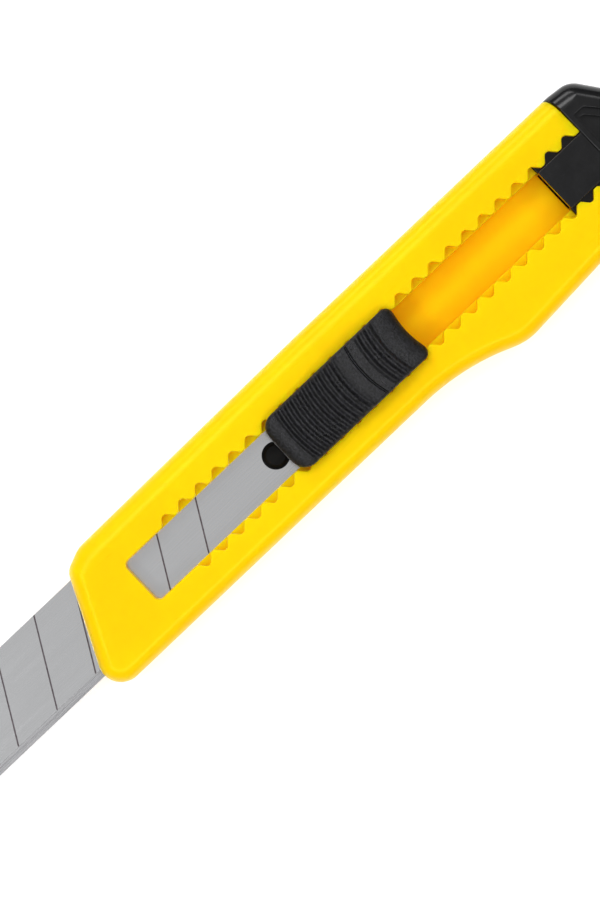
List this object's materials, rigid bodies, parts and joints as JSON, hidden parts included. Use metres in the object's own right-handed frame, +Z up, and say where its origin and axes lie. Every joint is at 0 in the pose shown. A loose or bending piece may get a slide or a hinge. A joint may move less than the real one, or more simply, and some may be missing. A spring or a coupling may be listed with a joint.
{
  "type": "snap-off utility knife",
  "caption": "Yellow snap-off utility knife with a slanted nose, notched slot, sliding black ribbed thumb lock, scored blade and black end cap.",
  "frame": {"origin": "on the flat back face of the handle, at half the handle's length, under the blade's centre line", "axes": "+X along the handle from the blade tip to the end cap, +Y towards the straight spine, +Z up from the back face to the thumb button"},
  "size_m": [0.192, 0.0314, 0.0165],
  "materials": {
    "handle_plastic": "satin gloss moulded ABS, warm yellow",
    "black_plastic": "finely textured moulded plastic, black",
    "slide_plastic": "smooth acetal, black",
    "blade_steel": "lengthwise ground tool steel with a polished cutting edge",
    "spring_steel": "cold-rolled spring strip"
  },
  "bodies": {
    "handle": {"handle_body": "handle_plastic"},
    "cap": {"end_cap": "black_plastic"},
    "carriage": {"blade_carrier": "slide_plastic", "blade": "blade_steel", "lock_spring": "spring_steel"},
    "button": {"thumb_button": "black_plastic"}
  },
  "joints": [
    {"name": "carriage_slide", "type": "slide", "parent": "handle", "child": "carriage", "axis": [1, 0, 0], "range_m": [-0.0396, 0.0484], "deforming": ["lock_spring"]},
    {"name": "button_shift", "type": "slide", "parent": "carriage", "child": "button", "axis": [1, 0, 0], "range_m": [-0.0012, 0.0012], "stiffness_N_per_m": 1500},
    {"name": "cap_pull", "type": "slide", "parent": "handle", "child": "cap", "axis": [1, 0, 0], "range_m": [0, 0.02]}
  ]
}
